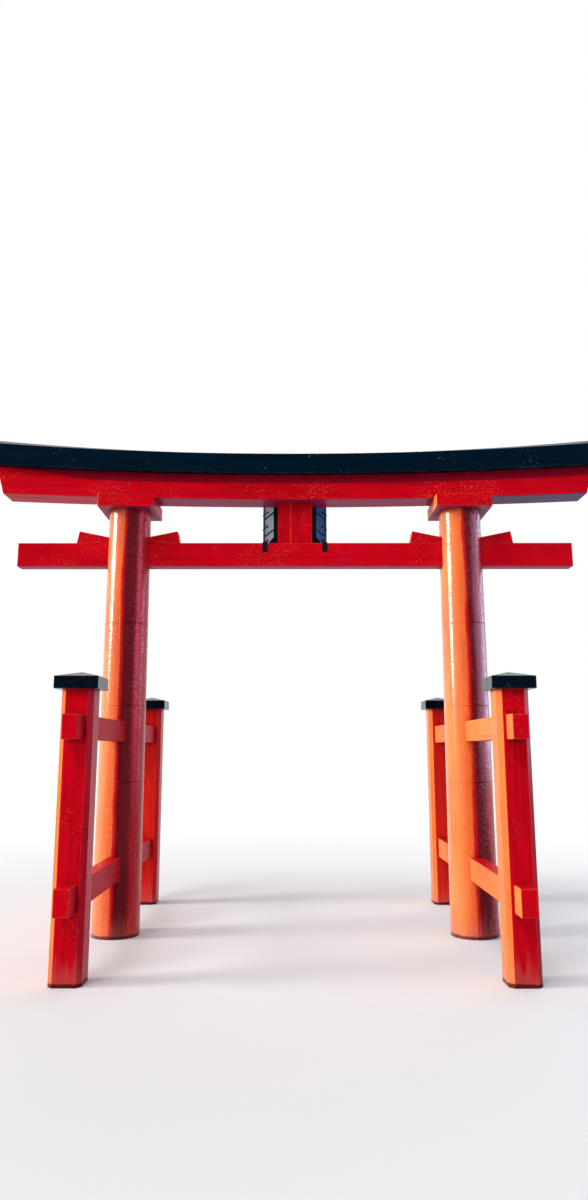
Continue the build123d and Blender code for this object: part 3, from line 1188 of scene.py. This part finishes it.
@dataclass
class RailAndStrut(Assembly):
    """The through rail with its four wedges, and the strut that stands on it."""

    seam_from_middle: float = -0.062
    seam_width: float = 0.012
    seam_stand: float = 0.0015
    seam_sunk: float = 0.002

    def build_seam(self) -> Piece:
        """Build the ridge of paint over the seam between the strut's two boards.

        Returns:
            The ridges of both faces, as one piece.
        """
        low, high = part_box("strut")
        middle = (low.x + high.x) / 2 + self.seam_from_middle
        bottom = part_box("through_rail")[1].z
        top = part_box("lintel_middle")[0].z
        shape = bmesh.new()
        for face, out in ((low.y, -1.0), (high.y, 1.0)):
            outline = [
                Vector((middle - self.seam_width / 2, face - out * self.seam_sunk, bottom)),
                Vector((middle, face + out * self.seam_stand, bottom)),
                Vector((middle + self.seam_width / 2, face - out * self.seam_sunk, bottom)),
            ]
            prism(shape, outline, Vector((0.0, 0.0, top - bottom)))
        seam = piece_from(shape, "strut_seam")
        SEAM_PAINT.apply(seam)
        return keep(seam)

    def build(self) -> list[Piece]:
        """Paint the rail, the wedges and the strut.

        Returns:
            The timbers and the seam.
        """
        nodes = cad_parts
        wedges = (nodes[f"rail_wedge_{side}_{place}"] for side in SIDES for place in ("outer", "inner"))
        pieces = GATEWISE_PAINT.apply(nodes["through_rail"], *wedges)
        pieces += UPRIGHT_PAINT.apply(nodes["strut"])
        return [*pieces, self.build_seam()]


@dataclass(frozen=True)
class FlaredBoard:
    """Front of one flared side board of the plaque, and the directions on it."""

    middle: Vector
    outward: Vector
    away: Vector
    half_width: float
    half_height: float

    @classmethod
    def of_side(cls, side: str) -> "FlaredBoard":
        """Read the board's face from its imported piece.

        Args:
            side: Which board, left or right.

        Returns:
            The face.
        """
        low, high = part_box(f"plaque_frame_{side}")
        sign = -1.0 if side == "left" else 1.0
        slope = Vector((sign * (high.x - low.x), high.y - low.y, 0.0))
        return cls(
            middle=(low + high) / 2,
            outward=slope.normalized(),
            away=Vector((sign * slope.y, -abs(slope.x), 0.0)).normalized(),
            half_width=slope.length / 2,
            half_height=(high.z - low.z) / 2,
        )

    def slanted(self, angle: float) -> Vector:
        """Direction that falls towards the rim at an angle."""
        return self.outward * cos(angle) - Vector((0.0, 0.0, sin(angle)))

    def bar(
        self, shape: Shape, start: Vector, end: Vector, width: float, sunk: float, stand: float
    ) -> None:
        """Add a flat bar on the face.

        Args:
            shape: The shape that takes the bar.
            start: Middle of one end, on the face.
            end: Middle of the other end, on the face.
            width: Width of the bar.
            sunk: How deep it goes into the board.
            stand: How far it stands out.
        """
        side = self.away.cross(end - start).normalized() * width / 2
        outline = [point - self.away * sunk for point in (start - side, end - side, end + side, start + side)]
        prism(shape, outline, self.away * (sunk + stand))


@dataclass
class Plaque(Assembly):
    """The unlettered plaque: its flared frame with dark joints and studs, and its two hooks."""

    slant: float = radians(26)
    joint_rows: tuple[int, ...] = (-1, 0, 1)
    joint_pitch: float = 0.276
    joint_width: float = 0.024
    joint_sunk: float = 0.006
    joint_stand: float = 0.003
    stud_rows: tuple[float, ...] = (-1.5, -0.5, 0.5, 1.5)
    stud_pitch: float = 0.224
    stud_drop: float = 0.044
    stud_length: float = 0.068
    stud_width: float = 0.050
    stud_sunk: float = 0.003
    stud_stand: float = 0.012
    stud_out: float = 0.018
    pin_width: float = 0.012
    pin_sunk: float = 0.002
    pin_stand: float = 0.0072
    pin_overhang: float = 0.014
    batten_width: float = 0.036
    batten_sunk: float = 0.002
    batten_stand: float = 0.006

    def build(self) -> list[Piece]:
        """Lacquer the plaque, blacken the hooks, and add the small parts of its side boards.

        Returns:
            The plaque's boards, its hooks and the small parts.
        """
        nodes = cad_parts
        pieces = [
            *PLAQUE_LACQUER.apply(*(nodes[f"plaque_frame_{side}"] for side in SIDES)),
            *CROSS_BOARD_LACQUER.apply(nodes["plaque_frame_top"], nodes["plaque_frame_bottom"]),
            *BOARD_LACQUER.apply(nodes["plaque_board"]),
            *IRON.apply(*(nodes[f"plaque_hook_{side}"] for side in SIDES)),
        ]
        for side in SIDES:
            board = FlaredBoard.of_side(side)
            pieces.append(self.build_edge_batten(side, board))
            pieces.append(self.build_joints(side, board))
            pieces.append(self.build_studs(side, board))
        return pieces

    def build_edge_batten(self, side: str, board: FlaredBoard) -> Piece:
        """Build the batten along the rim of one side board.

        Args:
            side: Which board, left or right.
            board: The board's face.

        Returns:
            The batten.
        """
        across = board.middle + board.outward * (board.half_width - self.batten_width / 2)
        reach = Vector((0.0, 0.0, board.half_height - self.batten_width))
        size = (self.batten_width, self.batten_sunk, self.batten_stand)
        shape = bmesh.new()
        board.bar(shape, across - reach, across + reach, *size)
        batten = piece_from(shape, f"plaque_edge_batten_{side}")
        # Darker lacquer: painted shade on the rim.
        SHADED_EDGE_LACQUER.apply(batten)
        return keep(batten)

    def build_joints(self, side: str, board: FlaredBoard) -> Piece:
        """Fill the slanting grooves of one side board with dark strips.

        Args:
            side: Which board, left or right.
            board: The board's face.

        Returns:
            The strips, as one piece.
        """
        reach = board.slanted(self.slant) * (board.half_width / cos(self.slant))
        size = (self.joint_width, self.joint_sunk, self.joint_stand)
        shape = bmesh.new()
        for row in self.joint_rows:
            centre = board.middle + Vector((0.0, 0.0, row * self.joint_pitch))
            board.bar(shape, centre - reach, centre + reach, *size)
        joints = piece_from(shape, f"plaque_joints_{side}")
        BOARD_LACQUER.apply(joints)
        return keep(joints)

    def build_studs(self, side: str, board: FlaredBoard) -> Piece:
        """Build the lozenge studs of one side board, each with its pin out to the rim.

        Args:
            side: Which board, left or right.
            board: The board's face.

        Returns:
            The studs and pins, as one piece.
        """
        slanted = board.slanted(self.slant)
        along = slanted * self.stud_length / 2
        across = board.away.cross(slanted).normalized() * self.stud_width / 2
        reach = slanted * ((board.half_width - self.stud_out) / cos(self.slant) + self.pin_overhang)
        size = (self.pin_width, self.pin_sunk, self.pin_stand)
        shape = bmesh.new()
        for row in self.stud_rows:
            height = Vector((0.0, 0.0, row * self.stud_pitch - self.stud_drop))
            centre = board.middle + height + board.outward * self.stud_out
            board.bar(shape, centre, centre + reach, *size)
            rim = (centre + along, centre + across, centre - along, centre - across)
            base = [shape.verts.new(corner - board.away * self.stud_sunk) for corner in rim]
            tip = shape.verts.new(centre + board.away * self.stud_stand)
            shape.faces.new(base)
            for index, corner in enumerate(base):
                shape.faces.new((base[(index + 1) % len(base)], corner, tip))
        studs = piece_from(shape, f"plaque_studs_{side}")
        STUD_IRON.apply(studs)
        return keep(studs)


@dataclass
class Studio:
    """Floor, light and camera."""

    floor_radius: float = 60.0
    floor_steps: int = 96
    eye: Triple = (0.0, -11.990, 2.535)
    look_up: float = radians(10.368)
    look_left: float = radians(0.124)
    lens: float = 24.487
    film_width: float = 36.0
    shift: float = 0.0007
    sight: float = 200.0
    sun_from: Triple = (-0.95, -0.17, 0.26)
    sun_width: float = radians(21)
    sun_strength: float = 3.5
    sun_tint: Triple = (1.0, 0.93, 0.82)
    front_from: Triple = (-0.3, -0.52, 0.8)
    front_width: float = radians(24)
    front_strength: float = 1.2
    back_from: Triple = (0.1, 0.85, 0.5)
    back_width: float = radians(60)
    back_strength: float = 0.8
    rim_place: Triple = (12.0, -0.5, 6.5)
    rim_width: float = 15.0
    rim_height: float = 9.0
    rim_power: float = 3400.0
    rim_tint: Triple = (0.3, 0.68, 1.0)
    ambient: Colour = (0.38, 0.39, 0.43, 1.0)

    def build(self) -> None:
        """Set up everything around the gate."""
        self.build_floor()
        self.build_world()
        self.build_key()
        self.build_fill()
        self.build_rim()
        self.build_camera()

    def build_floor(self) -> None:
        """Lay the floor as a wide disc."""
        shape = bmesh.new()
        bmesh.ops.create_circle(shape, cap_ends=True, segments=self.floor_steps, radius=self.floor_radius)
        floor = piece_from(shape, "studio_floor")
        PaleFloor("pale_floor").apply(floor)

    def build_world(self) -> None:
        """Show white to the eye and in gloss, and give a plain soft light otherwise."""
        world = bpy.data.worlds.new("studio_world")
        world.use_nodes = True
        world.node_tree.nodes.clear()
        wiring = Wiring(world.node_tree)
        seen = wiring.place("ShaderNodeLightPath").outputs
        shown = wiring.maths("ADD", seen["Is Camera Ray"], seen["Is Glossy Ray"])
        shown = wiring.maths("ADD", shown, seen["Is Transmission Ray"])
        colour = wiring.mix(shown, self.ambient, WHITE)
        background = wiring.place("ShaderNodeBackground", {"Color": colour, "Strength": 1.0})
        wiring.place("ShaderNodeOutputWorld", {"Surface": background.outputs[0]})
        bpy.context.scene.world = world

    def hang(self, lamp: bpy.types.Light, toward: Triple, place: Triple = (0.0, 0.0, 0.0)) -> Piece:
        """Hang a lamp in the studio.

        Args:
            lamp: The lamp.
            toward: Direction that it is seen in from the gate.
            place: Where it hangs, which a lamp with parallel light doesn't need.

        Returns:
            The lamp's object.
        """
        holder = bpy.data.objects.new(lamp.name, lamp)
        holder.location = place
        holder.rotation_euler = Vector(toward).to_track_quat("Z", "Y").to_euler()
        bpy.context.scene.collection.objects.link(holder)
        return holder

    def hang_sun(self, name: str, toward: Triple, width: float, strength: float) -> Piece:
        """Hang a lamp with parallel light.

        Args:
            name: The lamp's name.
            toward: Direction that it is seen in from the gate.
            width: Angle that it fills, as seen from the gate.
            strength: Its strength.

        Returns:
            The lamp's object.
        """
        lamp = bpy.data.lights.new(name, "SUN")
        lamp.angle = width
        lamp.energy = strength
        return self.hang(lamp, toward)

    def build_key(self) -> None:
        """Hang the main lamp, warm and low on the left."""
        key = self.hang_sun("key_lamp", self.sun_from, self.sun_width, self.sun_strength)
        key.data.color = self.sun_tint

    def build_fill(self) -> None:
        """Hang the soft lamps before and behind the gate, kept out of reflections."""
        front = self.hang_sun("front_lamp", self.front_from, self.front_width, self.front_strength)
        back = self.hang_sun("back_lamp", self.back_from, self.back_width, self.back_strength)
        for lamp in (front, back):
            lamp.visible_glossy = False

    def build_rim(self) -> None:
        """Hang the cool screen on the right, which shows only in gloss, as the band on the columns."""
        lamp = bpy.data.lights.new("rim_lamp", "AREA")
        lamp.shape = "RECTANGLE"
        lamp.size = self.rim_width
        lamp.size_y = self.rim_height
        lamp.energy = self.rim_power
        lamp.color = self.rim_tint
        level = (*self.rim_place[:2], 0.0)
        screen = self.hang(lamp, level, self.rim_place)
        screen.visible_camera = False
        screen.visible_diffuse = False

    def build_camera(self) -> None:
        """Set the camera where the photograph was taken from."""
        lens = bpy.data.cameras.new("photo_view")
        lens.lens = self.lens
        lens.sensor_width = self.film_width
        lens.shift_x = self.shift
        lens.clip_end = self.sight
        camera = bpy.data.objects.new("photo_view", lens)
        camera.location = self.eye
        camera.rotation_euler = (pi / 2 + self.look_up, 0.0, self.look_left)
        bpy.context.scene.collection.objects.link(camera)
        bpy.context.scene.camera = camera
        bpy.context.scene.view_settings.view_transform = "Standard"


def main() -> None:
    """Build the gate's looks and report each piece."""
    logging.basicConfig(level=logging.INFO, format="%(name)s: %(message)s")
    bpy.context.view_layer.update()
    frames = (part(side) for side in SIDES for part in (Column, BraceFrame))
    for assembly in (*frames, Crown(), RailAndStrut(), Plaque()):
        for piece in assembly.build():
            finish = piece.data.materials[0].name
            log.info("%s: %d faces in %s", piece.name, len(piece.data.polygons), finish)
    Studio().build()
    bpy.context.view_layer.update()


if __name__ == "__main__":
    main()
